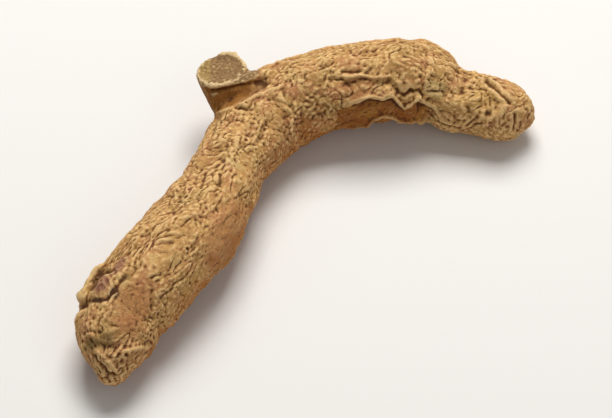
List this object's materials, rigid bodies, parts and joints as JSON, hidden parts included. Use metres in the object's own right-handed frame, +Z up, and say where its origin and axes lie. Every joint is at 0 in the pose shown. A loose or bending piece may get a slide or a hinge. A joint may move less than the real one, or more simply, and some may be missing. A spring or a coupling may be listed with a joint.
{
  "type": "black turmeric rhizome",
  "caption": "Dried black turmeric rhizome: a bent, shrivelled brown finger with a snapped side shoot on its bend and a smaller knob beyond its shoulder.",
  "frame": {"origin": "middle of the bounding box's base, on the plane that the rhizome rests on", "axes": "+X from the thick tip's side towards the knob, +Y from the tip towards the bend, +Z up"},
  "size_m": [0.0808, 0.0722, 0.0175],
  "materials": {
    "dried_skin": "matte, finely wrinkled dry skin"
  },
  "bodies": {
    "root": {"rhizome": "dried_skin"}
  },
  "joints": []
}
